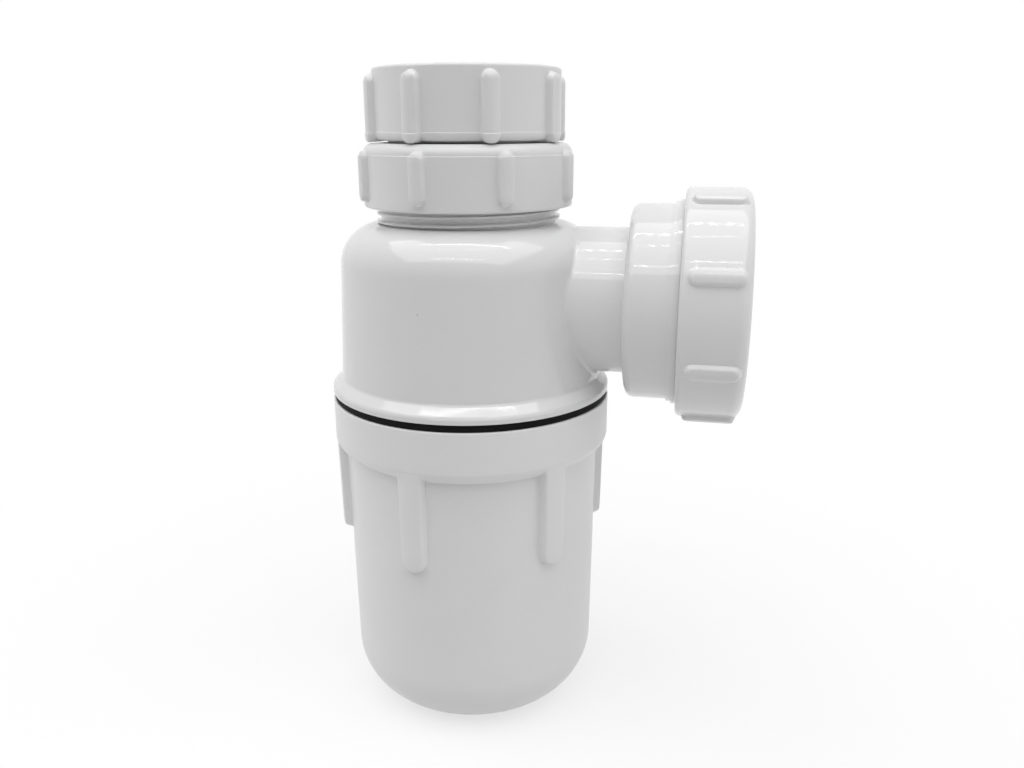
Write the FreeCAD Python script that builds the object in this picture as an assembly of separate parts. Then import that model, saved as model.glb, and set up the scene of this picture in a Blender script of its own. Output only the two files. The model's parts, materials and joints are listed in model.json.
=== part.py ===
"""Bottle trap for a 32 mm (1 1/4 in) basin waste, moulded in white plastic.

The frame has its origin at the centre of the bottle's flat base, +Z up along the bottle and +X out
along the side outlet. Each piece of the trap is one closed solid. All sizes are millimetres.
"""
import FreeCAD
import Part
import math
import os

from FreeCAD import Vector

# Room between pieces
face_gap = 0.05        # between flat faces that seat on each other
fit_gap = 0.35         # radial room between round faces that turn or slide past each other
thread_gap = 0.3       # radial room between an outside thread and its nut
flank_gap = 0.2        # room on each side of a thread ridge, along the axis

# Bottle: the screw-off cup
bottle_height = 88.4           # base to rim
bottle_taper = 0.85            # how much slimmer the wall is at the base than at the collar
bottle_base_round = 16.5
bottle_wall = 2.3
bottle_floor = 2.5
collar_radius = 37.3
collar_step = 2.85             # collar's face stands this far out from the wall
collar_foot = 2.6              # collar's underside to the straight bore inside
collar_edge_round = 1.5
collar_root_round = 0.8
collar_draft = 0.15            # how much slimmer the collar is at its lower edge
bottle_rib_count = 6
bottle_rib_width = 7.2
bottle_rib_length = 26.0       # below the collar
bottle_rib_step = 0.2          # ribs stand this much inside the collar's face
bottle_rib_draft_deg = 0.6
bottle_rib_round = 2.0
bottle_rib_first_deg = -100.9   # the first rib, counted from +X

# Thread between bottle and body
skirt_length = 11.5
skirt_wall = 2.4
skirt_foot_room = 0.9          # straight bore below the skirt before the bottle narrows
bottle_pitch = 3.0
bottle_thread_depth = 1.1
bottle_ridge_foot = 1.7        # width of the ridge at its foot and at its crest
bottle_ridge_crest = 0.8

# Flat rubber ring between bottle and body
bottle_seal_height = 1.9
bottle_seal_inset = 0.4        # ring's edge lies this much inside the collar's face

# Body: flange, shell, shoulder and neck
flange_step = 2.55             # flange stands this far out from the foot of the shell
flange_edge = 1.6              # upright edge of the flange
flange_edge_round = 1.2
flange_height = 3.9            # underside to the foot of the shell
flange_root_round = 1.0
shell_taper = 1.65             # how much slimmer the shell is at its top
shell_wall = 2.4
shoulder_round = 10.5
shoulder_clear = 0.85          # top of the branch to the top of the shoulder
neck_length = 14.5
neck_wall = 2.2                # outside the seal's pocket
neck_pitch = 2.0
neck_thread_depth = 1.1
neck_ridge_foot = 1.2
neck_ridge_crest = 0.5
neck_thread_start = -0.6       # first ridge, measured from the top of the shoulder
neck_pocket_depth = 6.0        # straight part of the seal's pocket
neck_pocket_width = 3.7        # from the tube to the pocket's wall
neck_pocket_clear = 0.25       # room between the seal and its pocket
neck_guide_gap = 0.6           # room round the tube in the neck

# Dip tube with its flange and face washer
tube_radius = 16.7
tube_wall = 2.0
tube_flange_height = 2.2
water_seal_depth = 75.0        # outlet invert down to the mouth of the tube
tube_mouth_round = 0.6
inlet_washer_height = 2.5
inlet_washer_inset = 0.4       # washer's hole is this much wider than the tube's bore

# Gland of the neck: rubber ring, slip ring and nut
neck_seal_proud = 1.0          # the ring stands this much above the neck
neck_slip_height = 1.6
neck_nut_height = 15.6
neck_nut_wall = 2.6            # outside the thread's root
neck_nut_plate = 2.6
neck_nut_top_round = 2.6
neck_nut_foot_round = 0.5
neck_nut_ribs = 8
neck_nut_rib_width = 4.3
neck_nut_rib_height = 1.75
neck_nut_rib_round = 1.3
neck_nut_rib_foot = 1.5        # nut's lower edge to the ribs' lower ends
neck_nut_rib_head = 1.4        # ribs' upper ends to the nut's top
neck_nut_first_deg = -101.4

# Captive nut of the inlet, G 1 1/4 inside
inlet_nut_rise = 0.6           # gap over the neck nut
inlet_nut_height = 17.2
inlet_nut_wall = 2.745         # outside the thread's root
inlet_nut_lip = 2.4
inlet_nut_foot_round = 1.7
inlet_nut_top_round = 0.7
inlet_nut_ribs = 8
inlet_nut_rib_width = 4.6
inlet_nut_rib_height = 2.15
inlet_nut_rib_round = 1.6
inlet_nut_rib_foot = 0.1
inlet_nut_rib_head = 1.3
inlet_nut_first_deg = -62.6
inlet_thread_crest = 19.476    # minor radius of the inside thread, which is left as a plain bore
inlet_thread_root = 20.955     # major radius
inlet_relief_height = 0.5      # clear room above the washer before the thread starts
inlet_lead_in = 1.3

# Side outlet: branch pipe and threaded socket
branch_clear = 1.75            # top of the flange to the underside of the branch
branch_length = 9.5            # from the shell's top radius to the socket
branch_wall = 2.45
branch_root_round = 1.2        # blend where the branch leaves the shell
socket_inset = 0.3             # smooth part of the socket lies this much inside the thread's core
socket_back_round = 2.2
socket_length = 10.5           # smooth part behind the two beads
bead_width = 1.15
bead_step = 0.55               # each bead stands this much above the one before
bead_count = 2
outlet_thread_length = 11.0
outlet_pitch = 2.5
outlet_thread_depth = 1.1
outlet_ridge_foot = 1.4
outlet_ridge_crest = 0.6
outlet_ridge_first = 1.2       # first ridge, measured from the last bead
pipe_radius = 18.15            # outside of the waste pipe that the outlet takes
pipe_gap = 0.3
pipe_stop = 3.4                # socket's back wall
pipe_stop_lip = 1.95           # how far the stop reaches in front of the pipe's end
outlet_pocket_width = 4.25     # from the socket's bore to the pocket's wall
outlet_pocket_wall = 2.4       # between the pocket and the thread's core
outlet_pocket_depth = 6.5      # straight part of the seal's pocket
outlet_pocket_clear = 0.25

# Gland of the outlet: rubber ring, slip ring and nut
outlet_seal_proud = 1.0
outlet_slip_height = 1.6
outlet_nut_setback = 0.4       # gap between the last bead and the nut
outlet_nut_wall = 2.4          # outside the thread's root
outlet_nut_plate = 2.65
outlet_nut_front_round = 3.2
outlet_nut_back_round = 1.2
outlet_nut_ribs = 8
outlet_nut_rib_width = 4.4
outlet_nut_rib_height = 1.35
outlet_nut_rib_round = 1.1
outlet_nut_rib_back = 1.2      # nut's rear edge to the ribs' ends
outlet_nut_rib_front = 1.7     # ribs' ends to the nut's front
outlet_nut_first_deg = -112.5

# Shaping helpers
thread_bite = 0.3              # how deep a ridge's foot is sunk in its core
overshoot = 1.0                # how far a cutting shape runs past the face that it cuts
slip_hole_gap = 0.4            # room round the tube or pipe in a slip ring or a nut's plate


def turned(corners):
    """Solid of revolution about Z from (radius, height, rounding) corners, taken in order."""
    points = [Vector(radius, 0, height) for radius, height, _ in corners]
    runs = []
    for index, corner in enumerate(corners):
        here = points[index]
        rounding = corner[2]
        if not rounding:
            runs.append((here, None, here))
            continue
        back = (points[index - 1] - here).normalize()
        ahead = (points[(index + 1) % len(points)] - here).normalize()
        half = back.getAngle(ahead) / 2
        reach = rounding / math.tan(half)
        inward = (back + ahead).normalize()
        middle = here + inward * (rounding / math.sin(half) - rounding)
        runs.append((here + back * reach, middle, here + ahead * reach))
    edges = []
    for index, (start, middle, end) in enumerate(runs):
        if middle is not None:
            edges.append(Part.Arc(start, middle, end).toShape())
        following = runs[(index + 1) % len(runs)][0]
        edges.append(Part.LineSegment(end, following).toShape())
    face = Part.Face(Part.Wire(edges))
    return face.revolve(Vector(0, 0, 0), Vector(0, 0, 1), 360)


def tube(outer, inner, bottom, top):
    """Plain ring about Z."""
    return turned([(inner, bottom, 0), (outer, bottom, 0), (outer, top, 0), (inner, top, 0)])


def helical_bar(foot_radius, foot_width, crest_radius, crest_width, pitch, start, length):
    """Right-hand thread ridge about Z: a trapezoid swept along a helix, foot sunk in the wall."""
    path = Part.Wire(Part.makeHelix(pitch, length, foot_radius).Edges)
    section = Part.makePolygon([
        Vector(foot_radius, 0, -foot_width / 2),
        Vector(crest_radius, 0, -crest_width / 2),
        Vector(crest_radius, 0, crest_width / 2),
        Vector(foot_radius, 0, foot_width / 2),
        Vector(foot_radius, 0, -foot_width / 2),
    ])
    bar = path.makePipeShell([section], True, True)
    bar.translate(Vector(0, 0, start))
    return bar


def outside_ridge(core, depth, foot, crest, pitch, start, length):
    """Thread ridge to fuse on a core of the given radius."""
    return helical_bar(core - thread_bite, foot, core + depth, crest, pitch, start, length)


def inside_ridge(core, depth, foot, crest, pitch, ridge_start, ridge_length, lowest):
    """Thread ridge for the nut that runs on outside_ridge with the same numbers.

    It lies midway between the turns of that ridge, begins at or above lowest and ends level with it.
    """
    turns = math.ceil((lowest - ridge_start) / pitch - 0.5)
    start = ridge_start + (turns + 0.5) * pitch
    slope = (foot - crest) / (depth + thread_bite)
    room = pitch - 2 * flank_gap + slope * thread_bite
    wall = core + depth + thread_gap
    return helical_bar(wall + thread_bite, room - crest, core + thread_gap, room - foot, pitch, start,
                       ridge_start + ridge_length - start)


def grip_rib(width, bottom, top, root, face, edge_round):
    """Upright bar with half-round ends on the +X side, from radius root out to radius face."""
    half = width / 2
    low = bottom + half
    high = top - half
    outline = Part.Wire([
        Part.LineSegment(Vector(root, half, low), Vector(root, half, high)).toShape(),
        Part.Arc(Vector(root, half, high), Vector(root, 0, top), Vector(root, -half, high)).toShape(),
        Part.LineSegment(Vector(root, -half, high), Vector(root, -half, low)).toShape(),
        Part.Arc(Vector(root, -half, low), Vector(root, 0, bottom), Vector(root, half, low)).toShape(),
    ])
    bar = Part.Face(outline).extrude(Vector(face - root, 0, 0))
    front = [edge for edge in bar.Edges if all(abs(v.X - face) < 1e-6 for v in edge.Vertexes)]
    return bar.makeFillet(min(edge_round, 0.9 * half), front)


def ring_of(shape, count, first_deg):
    """Copies of a +X-side shape, evenly spaced round Z."""
    copies = []
    for index in range(count):
        copy = shape.copy()
        copy.rotate(Vector(0, 0, 0), Vector(0, 0, 1), first_deg + index * 360 / count)
        copies.append(copy)
    return copies


def to_outlet(shape):
    """Lay a shape that was made about Z along the outlet's axis."""
    shape.rotate(Vector(0, 0, 0), Vector(0, 1, 0), 90)
    shape.translate(Vector(0, 0, outlet_level))
    return shape


# Radii that belong to more than one piece
bottle_neck_radius = collar_radius - collar_step
bottle_foot_radius = bottle_neck_radius - bottle_taper
bottle_seal_radius = collar_radius - bottle_seal_inset
flange_radius = collar_radius
shell_foot_radius = flange_radius - flange_step
shell_top_radius = shell_foot_radius - shell_taper
skirt_core = collar_radius - bottle_wall - 2 * thread_gap - bottle_thread_depth
tube_bore = tube_radius - tube_wall
tube_hole = tube_radius + slip_hole_gap
tube_flange_radius = inlet_thread_crest - fit_gap
neck_guide = tube_radius + neck_guide_gap
neck_pocket = tube_radius + neck_pocket_width
neck_radius = neck_pocket + neck_wall
neck_nut_bore = neck_radius + neck_thread_depth + thread_gap
neck_nut_radius = neck_nut_bore + neck_nut_wall
inlet_nut_radius = inlet_thread_root + inlet_nut_wall
socket_bore = pipe_radius + pipe_gap
pipe_hole = socket_bore + slip_hole_gap
outlet_pocket = socket_bore + outlet_pocket_width
outlet_thread_core = outlet_pocket + outlet_pocket_wall
socket_radius = outlet_thread_core - socket_inset
outlet_nut_bore = outlet_thread_core + outlet_thread_depth + thread_gap
outlet_nut_radius = outlet_nut_bore + outlet_nut_wall
branch_bore = pipe_radius - pipe_stop_lip
branch_radius = branch_bore + branch_wall

# Heights of the stack, from the base up
rim_level = bottle_height
flange_level = rim_level + face_gap + bottle_seal_height + face_gap
skirt_end = flange_level - skirt_length
collar_bore_foot = skirt_end - skirt_foot_room
collar_level = collar_bore_foot - collar_foot
outlet_level = flange_level + flange_height + branch_clear + branch_radius
shoulder_level = outlet_level + branch_radius + shoulder_clear
neck_top = shoulder_level + neck_length
neck_slip_bottom = neck_top + neck_seal_proud + face_gap
neck_plate_level = neck_slip_bottom + neck_slip_height + face_gap
neck_nut_top = neck_plate_level + neck_nut_plate
neck_nut_bottom = neck_nut_top - neck_nut_height
inlet_nut_bottom = neck_nut_top + inlet_nut_rise
inlet_nut_top = inlet_nut_bottom + inlet_nut_height
tube_flange_bottom = inlet_nut_bottom + inlet_nut_lip + face_gap
tube_top = tube_flange_bottom + tube_flange_height
inlet_washer_bottom = tube_top + face_gap
inlet_thread_start = inlet_washer_bottom + inlet_washer_height + inlet_relief_height
tube_mouth = outlet_level - branch_bore - water_seal_depth

# Places along the outlet, from the bottle's axis
socket_start = shell_top_radius + branch_length
beads_start = socket_start + socket_length
beads_end = beads_start + bead_count * bead_width
socket_end = beads_end + outlet_thread_length
outlet_slip_start = socket_end + outlet_seal_proud + face_gap
outlet_plate_start = outlet_slip_start + outlet_slip_height + face_gap
outlet_nut_front = outlet_plate_start + outlet_nut_plate
outlet_nut_back = beads_end + outlet_nut_setback

# Thread ridges: each starts near the open end's far side and stops short of the open end
bottle_ridge_start = skirt_end + bottle_ridge_foot
bottle_ridge_length = skirt_length - 3 * bottle_ridge_foot
neck_ridge_start = shoulder_level + neck_thread_start
neck_ridge_length = neck_length - neck_thread_start - neck_pitch
outlet_ridge_start = beads_end + outlet_ridge_first
outlet_ridge_length = outlet_thread_length - outlet_ridge_first - outlet_pitch / 2


def make_bottle():
    """Cup with a threaded collar; the ribs are for grip when it is screwed off for cleaning."""
    shell = turned([
        (0, 0, 0),
        (bottle_foot_radius, 0, bottle_base_round),
        (bottle_neck_radius, collar_level, collar_root_round),
        (collar_radius - collar_draft, collar_level, collar_edge_round),
        (collar_radius, rim_level, 0),
        (0, rim_level, 0),
    ])
    face = collar_radius - collar_draft - bottle_rib_step
    root = bottle_foot_radius - bottle_wall / 2
    bar = grip_rib(bottle_rib_width, collar_level - bottle_rib_length, (collar_level + rim_level) / 2, root,
                   face, bottle_rib_round)
    bar.rotate(Vector(face, 0, collar_level), Vector(0, 1, 0), bottle_rib_draft_deg)
    shell = shell.fuse(ring_of(bar, bottle_rib_count, bottle_rib_first_deg))

    bore = skirt_core + bottle_thread_depth + thread_gap
    waist = bottle_neck_radius - bottle_wall
    inside = turned([
        (0, bottle_floor, 0),
        (bottle_foot_radius - bottle_wall, bottle_floor, bottle_base_round - bottle_floor),
        (waist, collar_bore_foot - (bore - waist), 0),
        (bore, collar_bore_foot, 0),
        (bore, rim_level + overshoot, 0),
        (0, rim_level + overshoot, 0),
    ])
    ridge = inside_ridge(skirt_core, bottle_thread_depth, bottle_ridge_foot, bottle_ridge_crest,
                         bottle_pitch, bottle_ridge_start, bottle_ridge_length,
                         collar_bore_foot + bottle_pitch / 3)
    return shell.cut(inside).fuse(ridge)


def make_bottle_seal():
    """Flat rubber ring on the bottle's rim, round the skirt."""
    hole = skirt_core + bottle_thread_depth + fit_gap
    bottom = rim_level + face_gap
    return tube(bottle_seal_radius, hole, bottom, bottom + bottle_seal_height)


def make_trap_body():
    """Shell, neck and branch in one moulding."""
    shoulder = min(shoulder_round, shell_top_radius - neck_radius)
    shell = turned([
        (0, skirt_end, 0),
        (skirt_core, skirt_end, 0),
        (skirt_core, flange_level, 0),
        (flange_radius, flange_level, 0),
        (flange_radius, flange_level + flange_edge, flange_edge_round),
        (shell_foot_radius, flange_level + flange_height, flange_root_round),
        (shell_top_radius, shoulder_level, shoulder),
        (neck_radius, shoulder_level, 0),
        (neck_radius, neck_top, 0),
        (0, neck_top, 0),
    ])
    pipe = to_outlet(turned([
        (0, 0, 0),
        (branch_radius, 0, 0),
        (branch_radius, socket_start + socket_back_round, 0),
        (0, socket_start + socket_back_round, 0),
    ]))
    shell = shell.fuse(pipe)
    seam = [edge for edge in shell.Edges if edge.Curve.TypeId == "Part::GeomBSplineCurve"]
    shell = shell.makeFillet(branch_root_round, seam)

    socket_corners = [
        (0, socket_start, 0),
        (socket_radius, socket_start, socket_back_round),
    ]
    for index in range(bead_count):
        step = beads_start + index * bead_width
        below = socket_radius + index * bead_step
        socket_corners += [(below, step, 0), (below + bead_step, step, 0)]
    socket_corners += [
        (socket_radius + bead_count * bead_step, beads_end, 0),
        (outlet_thread_core, beads_end, 0),
        (outlet_thread_core, socket_end, 0),
        (0, socket_end, 0),
    ]
    socket = to_outlet(turned(socket_corners))

    bottle_ridge = outside_ridge(skirt_core, bottle_thread_depth, bottle_ridge_foot,
                                 bottle_ridge_crest, bottle_pitch, bottle_ridge_start,
                                 bottle_ridge_length)
    neck_ridge = outside_ridge(neck_radius, neck_thread_depth, neck_ridge_foot, neck_ridge_crest,
                               neck_pitch, neck_ridge_start, neck_ridge_length)
    outlet_ridge = to_outlet(outside_ridge(outlet_thread_core, outlet_thread_depth,
                                           outlet_ridge_foot, outlet_ridge_crest, outlet_pitch,
                                           outlet_ridge_start, outlet_ridge_length))
    shell = shell.fuse([socket, bottle_ridge, neck_ridge, outlet_ridge])

    skirt_bore = skirt_core - skirt_wall
    seat_rise = neck_pocket - neck_guide
    chamber = turned([
        (0, skirt_end - overshoot, 0),
        (skirt_bore, skirt_end - overshoot, 0),
        (skirt_bore, flange_level, 0),
        (shell_foot_radius - shell_wall, flange_level + flange_height, 0),
        (shell_top_radius - shell_wall, shoulder_level - shell_wall, shoulder - shell_wall),
        (neck_guide, shoulder_level - shell_wall, 0),
        (neck_guide, neck_top - neck_pocket_depth - seat_rise, 0),
        (neck_pocket, neck_top - neck_pocket_depth, 0),
        (neck_pocket, neck_top + overshoot, 0),
        (0, neck_top + overshoot, 0),
    ])
    outlet_seat = outlet_pocket - socket_bore
    waterway = to_outlet(turned([
        (0, 0, 0),
        (branch_bore, 0, 0),
        (branch_bore, socket_start + pipe_stop, 0),
        (socket_bore, socket_start + pipe_stop, 0),
        (socket_bore, socket_end - outlet_pocket_depth - outlet_seat, 0),
        (outlet_pocket, socket_end - outlet_pocket_depth, 0),
        (outlet_pocket, socket_end + overshoot, 0),
        (0, socket_end + overshoot, 0),
    ]))
    return shell.cut(chamber).cut(waterway)


def make_dip_tube():
    """Inlet tube: its flange is held in the inlet nut and its mouth dips into the bottle's water."""
    return turned([
        (tube_bore, tube_mouth, tube_mouth_round),
        (tube_radius, tube_mouth, tube_mouth_round),
        (tube_radius, tube_flange_bottom, 0),
        (tube_flange_radius, tube_flange_bottom, 0),
        (tube_flange_radius, tube_top, 0),
        (tube_bore, tube_top, 0),
    ])


def make_inlet_washer():
    """Flat rubber ring on the tube's flange."""
    return tube(tube_flange_radius, tube_bore + inlet_washer_inset, inlet_washer_bottom,
                inlet_washer_bottom + inlet_washer_height)


def make_neck_seal():
    """Rubber gland ring with a tapered foot, in the neck's pocket round the tube."""
    radius = neck_pocket - neck_pocket_clear
    hole = tube_radius + fit_gap
    bottom = neck_top - neck_pocket_depth - (radius - hole)
    return turned([
        (hole, bottom, 0),
        (radius, neck_top - neck_pocket_depth, 0),
        (radius, neck_top + neck_seal_proud, 0),
        (hole, neck_top + neck_seal_proud, 0),
    ])


def make_neck_slip_washer():
    """Hard slip ring that keeps the turning nut off the rubber."""
    return tube(neck_radius - fit_gap, tube_hole, neck_slip_bottom, neck_slip_bottom + neck_slip_height)


def make_neck_nut():
    """Gland nut with a rounded shoulder."""
    blank = turned([
        (0, neck_nut_bottom, 0),
        (neck_nut_radius, neck_nut_bottom, neck_nut_foot_round),
        (neck_nut_radius, neck_nut_top, neck_nut_top_round),
        (0, neck_nut_top, 0),
    ])
    bar = grip_rib(neck_nut_rib_width, neck_nut_bottom + neck_nut_rib_foot,
                   neck_nut_top - neck_nut_rib_head, neck_nut_radius - neck_nut_plate / 2,
                   neck_nut_radius + neck_nut_rib_height, neck_nut_rib_round)
    blank = blank.fuse(ring_of(bar, neck_nut_ribs, neck_nut_first_deg))
    inside = turned([
        (0, neck_nut_bottom - overshoot, 0),
        (neck_nut_bore, neck_nut_bottom - overshoot, 0),
        (neck_nut_bore, neck_plate_level, 0),
        (tube_hole, neck_plate_level, 0),
        (tube_hole, neck_nut_top + overshoot, 0),
        (0, neck_nut_top + overshoot, 0),
    ])
    ridge = inside_ridge(neck_radius, neck_thread_depth, neck_ridge_foot, neck_ridge_crest, neck_pitch,
                         neck_ridge_start, neck_ridge_length, neck_nut_bottom + neck_pitch / 2)
    return blank.cut(inside).fuse(ridge)


def make_inlet_nut():
    """Captive union nut for a parallel pipe thread, bored to the thread's minor radius."""
    blank = turned([
        (0, inlet_nut_bottom, 0),
        (inlet_nut_radius, inlet_nut_bottom, inlet_nut_foot_round),
        (inlet_nut_radius, inlet_nut_top, inlet_nut_top_round),
        (0, inlet_nut_top, 0),
    ])
    bar = grip_rib(inlet_nut_rib_width, inlet_nut_bottom + inlet_nut_rib_foot,
                   inlet_nut_top - inlet_nut_rib_head, inlet_nut_radius - inlet_nut_lip / 2,
                   inlet_nut_radius + inlet_nut_rib_height, inlet_nut_rib_round)
    blank = blank.fuse(ring_of(bar, inlet_nut_ribs, inlet_nut_first_deg))
    inside = turned([
        (0, inlet_nut_bottom - overshoot, 0),
        (tube_hole, inlet_nut_bottom - overshoot, 0),
        (tube_hole, inlet_nut_bottom + inlet_nut_lip, 0),
        (inlet_thread_root, inlet_nut_bottom + inlet_nut_lip, 0),
        (inlet_thread_root, inlet_thread_start, 0),
        (inlet_thread_crest, inlet_thread_start, 0),
        (inlet_thread_crest, inlet_nut_top - inlet_lead_in, 0),
        (inlet_thread_crest + inlet_lead_in + overshoot, inlet_nut_top + overshoot, 0),
        (0, inlet_nut_top + overshoot, 0),
    ])
    return blank.cut(inside)


def make_outlet_seal():
    """Rubber compression ring with a tapered foot, in the socket's pocket round the pipe."""
    radius = outlet_pocket - outlet_pocket_clear
    foot = socket_end - outlet_pocket_depth
    return to_outlet(turned([
        (socket_bore, foot - (radius - socket_bore), 0),
        (radius, foot, 0),
        (radius, socket_end + outlet_seal_proud, 0),
        (socket_bore, socket_end + outlet_seal_proud, 0),
    ]))


def make_outlet_slip_washer():
    """Hard slip ring between the outlet's rubber ring and its nut."""
    return to_outlet(tube(outlet_thread_core - fit_gap, pipe_hole, outlet_slip_start,
                          outlet_slip_start + outlet_slip_height))


def make_outlet_nut():
    """Compression nut with a rounded front."""
    blank = turned([
        (0, outlet_nut_back, 0),
        (outlet_nut_radius, outlet_nut_back, outlet_nut_back_round),
        (outlet_nut_radius, outlet_nut_front, outlet_nut_front_round),
        (0, outlet_nut_front, 0),
    ])
    bar = grip_rib(outlet_nut_rib_width, outlet_nut_back + outlet_nut_rib_back,
                   outlet_nut_front - outlet_nut_rib_front, outlet_nut_radius - outlet_nut_plate / 2,
                   outlet_nut_radius + outlet_nut_rib_height, outlet_nut_rib_round)
    blank = blank.fuse(ring_of(bar, outlet_nut_ribs, outlet_nut_first_deg))
    inside = turned([
        (0, outlet_nut_back - overshoot, 0),
        (outlet_nut_bore, outlet_nut_back - overshoot, 0),
        (outlet_nut_bore, outlet_plate_start, 0),
        (pipe_hole, outlet_plate_start, 0),
        (pipe_hole, outlet_nut_front + overshoot, 0),
        (0, outlet_nut_front + overshoot, 0),
    ])
    ridge = inside_ridge(outlet_thread_core, outlet_thread_depth, outlet_ridge_foot, outlet_ridge_crest,
                         outlet_pitch, outlet_ridge_start, outlet_ridge_length,
                         outlet_nut_back + outlet_pitch / 2)
    return to_outlet(blank.cut(inside).fuse(ridge))


pieces = {
    "trap_body": make_trap_body,
    "bottle": make_bottle,
    "bottle_seal": make_bottle_seal,
    "dip_tube": make_dip_tube,
    "inlet_washer": make_inlet_washer,
    "inlet_nut": make_inlet_nut,
    "neck_seal": make_neck_seal,
    "neck_slip_washer": make_neck_slip_washer,
    "neck_nut": make_neck_nut,
    "outlet_seal": make_outlet_seal,
    "outlet_slip_washer": make_outlet_slip_washer,
    "outlet_nut": make_outlet_nut,
}

os.makedirs("parts", exist_ok=True)
for name, make in pieces.items():
    shape = make()
    solids = shape.Solids
    box = shape.optimalBoundingBox()
    print(f"{name}: {len(solids)} solid, valid {shape.isValid()}, volume {shape.Volume / 1000:.2f} cm3, "
          f"x {box.XMin:.2f} to {box.XMax:.2f}, z {box.ZMin:.2f} to {box.ZMax:.2f}")
    solids[0].exportStep(f"parts/{name}.step")
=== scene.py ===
# %% [markdown]
# # A plastic bottle trap
# A bottle trap hangs under a wash basin. Water falls down the inner tube into the bottle, turns round
# and leaves through the side branch, and what stays in the bottle keeps smells out of the room.
# This lesson takes the trap's solids as a fixed frame, gives the moulded pieces the soft edges of real
# mouldings, and finishes every piece with its own plastic or rubber.

# %% Load the frame
import json
import math

import bmesh
import bpy
from mathutils import Matrix, Vector

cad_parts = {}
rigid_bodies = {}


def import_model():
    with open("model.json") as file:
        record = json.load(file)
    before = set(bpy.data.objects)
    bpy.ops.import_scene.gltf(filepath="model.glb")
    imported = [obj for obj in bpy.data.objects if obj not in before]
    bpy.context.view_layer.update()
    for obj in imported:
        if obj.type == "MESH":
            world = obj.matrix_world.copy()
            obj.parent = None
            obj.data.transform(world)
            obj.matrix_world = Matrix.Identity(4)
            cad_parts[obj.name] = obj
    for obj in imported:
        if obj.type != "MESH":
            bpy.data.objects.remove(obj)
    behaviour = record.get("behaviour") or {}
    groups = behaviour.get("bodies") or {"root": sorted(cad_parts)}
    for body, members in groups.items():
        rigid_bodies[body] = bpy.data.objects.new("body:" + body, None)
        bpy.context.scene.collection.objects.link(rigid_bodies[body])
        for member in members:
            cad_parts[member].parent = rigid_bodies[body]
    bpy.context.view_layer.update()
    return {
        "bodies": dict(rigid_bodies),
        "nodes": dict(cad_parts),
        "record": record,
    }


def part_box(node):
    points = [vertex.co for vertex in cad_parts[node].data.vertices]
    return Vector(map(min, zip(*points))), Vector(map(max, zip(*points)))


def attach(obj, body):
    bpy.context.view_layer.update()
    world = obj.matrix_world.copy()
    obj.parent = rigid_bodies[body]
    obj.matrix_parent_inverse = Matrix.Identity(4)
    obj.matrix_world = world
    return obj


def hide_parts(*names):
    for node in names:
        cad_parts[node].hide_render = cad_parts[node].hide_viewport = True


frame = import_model()
MM = 0.001

# %% [markdown]
# Every measure below is written in millimetres, as on a drawing, and the heights come from the frame's
# own boxes, so the pieces meet where the solids meet. The outlet's pieces lie on their side: they are
# made upright and laid over at the end, so their heights are read along X.

# %% Read the frame's measures
ALONG, ACROSS, UP = 0, 1, 2
LOW, HIGH = 0, 1
boxes = {node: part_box(node) for node in frame["nodes"]}


def level(node, end, axis=UP):
    """Lowest or highest place of a solid along an axis, in millimetres."""
    return boxes[node][end][axis] / MM


outlet_level = (level("outlet_nut", LOW) + level("outlet_nut", HIGH)) / 2
print("outlet axis at", round(outlet_level, 2), "mm")

# %% [markdown]
# ## Turned shapes
# Cups, nuts and rings come out of round moulds, so each is a section spun about an axis. The section is
# a chain of corners, and a bevel on a corner rounds it, as the mould maker's cutter does. A cylinder with
# loop cuts would also do, but a section shows at a glance what is thick and what is thin.


# %% Draw a section and round its corners
def round_corner(shape, spot, radius):
    """Round one corner of a wire with an arc of that radius; a wide arc takes more steps."""
    arms = [edge.other_vert(spot).co - spot.co for edge in spot.link_edges]
    half_angle = arms[0].angle(arms[1]) / 2
    steps = round(3 + 5 * math.sqrt(radius))
    bmesh.ops.bevel(shape, geom=[spot], offset=radius * MM / math.tan(half_angle), offset_type="OFFSET",
                    affect="VERTICES", segments=steps, profile=0.5, material=-1)


def section(corners, closed=True):
    """A wire in the XZ plane through (radius, height, rounding) corners."""
    shape = bmesh.new()
    spots = [shape.verts.new((radius * MM, 0, height * MM)) for radius, height, _ in corners]
    for first, second in zip(spots, spots[1:]):
        shape.edges.new((first, second))
    if closed:
        shape.edges.new((spots[-1], spots[0]))
    for spot, (_, _, rounding) in zip(spots, corners):
        if rounding:
            round_corner(shape, spot, rounding)
    return shape


# %% [markdown]
# A wall that will carry ribs needs rows of points to shape, so its long edges are cut into short ones
# first. The pieces repeat round their axis, so the section is spun through one sector only, and copies
# of that sector close the circle. That is much quicker than one long spin, and it lets one rib be shaped
# and then repeated. Doubled points are merged before the faces are turned to point outwards.

# %% Cut rows, spin a sector and repeat it
NEAR = 1e-3
MERGE = 2e-7


def cut_rows(shape, longest, low, high, beyond):
    """Divide the wire's edges outside a radius and between two heights into rows no longer than that."""
    for edge in list(shape.edges):
        heights = [spot.co.z / MM for spot in edge.verts]
        inmost = min(spot.co.x for spot in edge.verts) / MM
        if inmost > beyond - NEAR and min(heights) > low - NEAR and max(heights) < high + NEAR:
            cuts = int(edge.calc_length() / MM / longest)
            if cuts:
                bmesh.ops.subdivide_edges(shape, edges=[edge], cuts=cuts)


def turn(shape, spots, angle):
    """Turn some points of a shape about Z."""
    bmesh.ops.rotate(shape, verts=spots, cent=(0, 0, 0), matrix=Matrix.Rotation(angle, 3, "Z"))


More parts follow.
